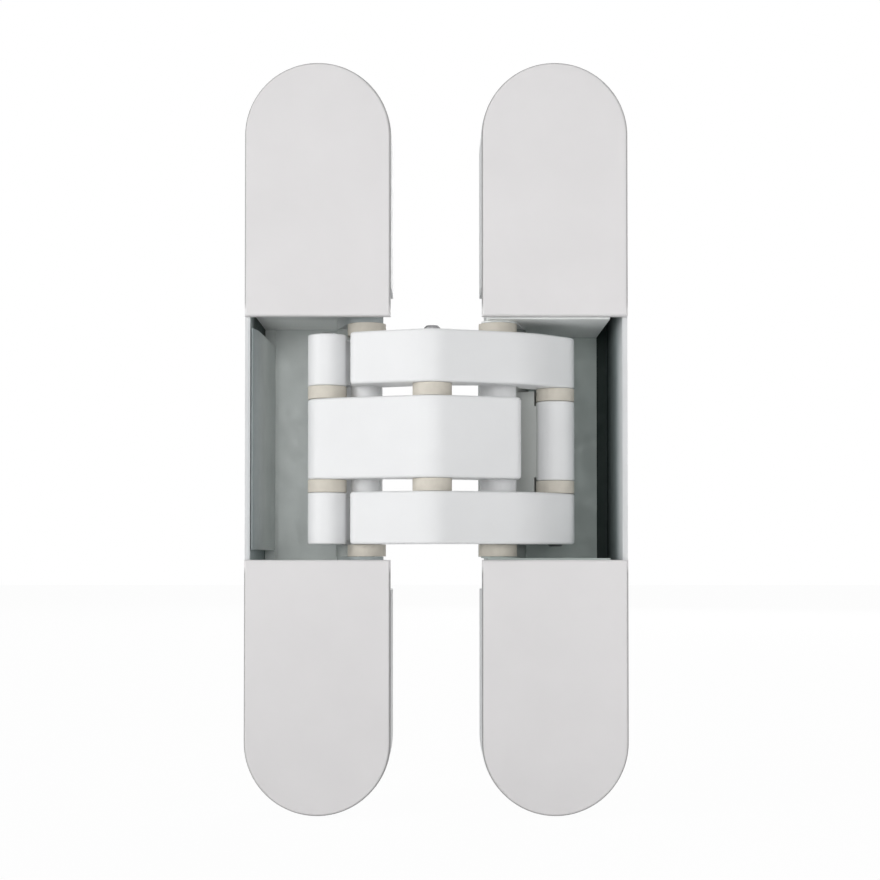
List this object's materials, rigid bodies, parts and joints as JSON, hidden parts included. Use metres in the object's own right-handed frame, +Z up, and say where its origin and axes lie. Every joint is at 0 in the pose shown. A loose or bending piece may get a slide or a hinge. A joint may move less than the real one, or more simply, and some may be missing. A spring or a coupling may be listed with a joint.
{
  "type": "concealed door hinge",
  "caption": "Concealed door hinge: round-ended housings for the frame and the door, joined by a folding linkage of cranked arms, short links and pins, lying fully open.",
  "frame": {"origin": "middle of the frame housing's face, where the face is flush with the frame's edge", "axes": "+X from the frame side to the door side, +Y into the housings, +Z up along the hinge's pins"},
  "size_m": [0.0764, 0.0405, 0.15],
  "materials": {
    "cover": "satin silver lacquer",
    "housing": "satin silver lacquer on die-cast zinc",
    "carriage": "grey die-cast zinc",
    "arm": "satin silver lacquer",
    "washer": "matt beige bearing plastic",
    "pin": "ground steel",
    "screw": "zinc-plated steel"
  },
  "bodies": {
    "frame": {"frame_housing": "housing", "frame_carriage": "carriage", "frame_cover_upper": "cover", "frame_cover_lower": "cover", "frame_clamp_screw_upper": "screw", "frame_clamp_screw_lower": "screw", "frame_cam_screw_upper": "screw", "frame_cam_screw_lower": "screw", "frame_front_washer_upper": "washer", "frame_front_washer_lower": "washer", "frame_front_pin": "pin"},
    "outer_arm": {"outer_arm": "arm", "centre_pin": "pin", "door_link_pin": "pin", "centre_washer_upper": "washer", "centre_washer_lower": "washer", "door_link_washer_upper": "washer", "door_link_washer_lower": "washer"},
    "inner_arm": {"inner_arm": "arm", "frame_link_washer_upper": "washer", "frame_link_washer_lower": "washer"},
    "door": {"door_housing": "housing", "door_carriage": "carriage", "door_cover_upper": "cover", "door_cover_lower": "cover", "door_clamp_screw_upper": "screw", "door_clamp_screw_lower": "screw", "door_cam_screw_upper": "screw", "door_cam_screw_lower": "screw", "door_front_washer_upper": "washer", "door_front_washer_lower": "washer", "door_front_pin": "pin"},
    "frame_link": {"frame_link": "arm", "frame_link_pin": "pin", "frame_deep_pin": "pin", "frame_deep_washer_upper": "washer", "frame_deep_washer_lower": "washer"},
    "door_link": {"door_link": "arm", "door_deep_pin": "pin", "door_deep_washer_upper": "washer", "door_deep_washer_lower": "washer"}
  },
  "joints": [
    {"name": "fold", "type": "hinge", "parent": "frame", "child": "outer_arm", "pos_m": [0.0095, 0.008, 0], "axis": [0, 0, -1], "range_deg": [0, 102.68]},
    {"name": "centre_fold", "type": "hinge", "parent": "outer_arm", "child": "inner_arm", "pos_m": [0.0228, -0.001, 0], "axis": [0, 0, -1], "range_deg": [-34.52, 0]},
    {"name": "door_fold", "type": "hinge", "parent": "inner_arm", "child": "door", "pos_m": [0.0361, 0.008, 0], "axis": [0, 0, -1], "range_deg": [0, 111.84]},
    {"name": "frame_link_swing", "type": "hinge", "parent": "inner_arm", "child": "frame_link", "pos_m": [0.0016, 0.006, 0], "axis": [0, 0, -1], "range_deg": [0, 10.24]},
    {"name": "door_link_swing", "type": "hinge", "parent": "outer_arm", "child": "door_link", "pos_m": [0.048, 0.0115, 0], "axis": [0, 0, -1], "range_deg": [-11.61, 0]}
  ],
  "couplings": [
    {"joint": "centre_fold", "follows": "fold", "ratio": -0.33608},
    {"joint": "door_fold", "follows": "fold", "ratio": 1.0891},
    {"joint": "frame_link_swing", "follows": "fold", "ratio": 0.09959},
    {"joint": "door_link_swing", "follows": "fold", "ratio": -0.11295}
  ]
}
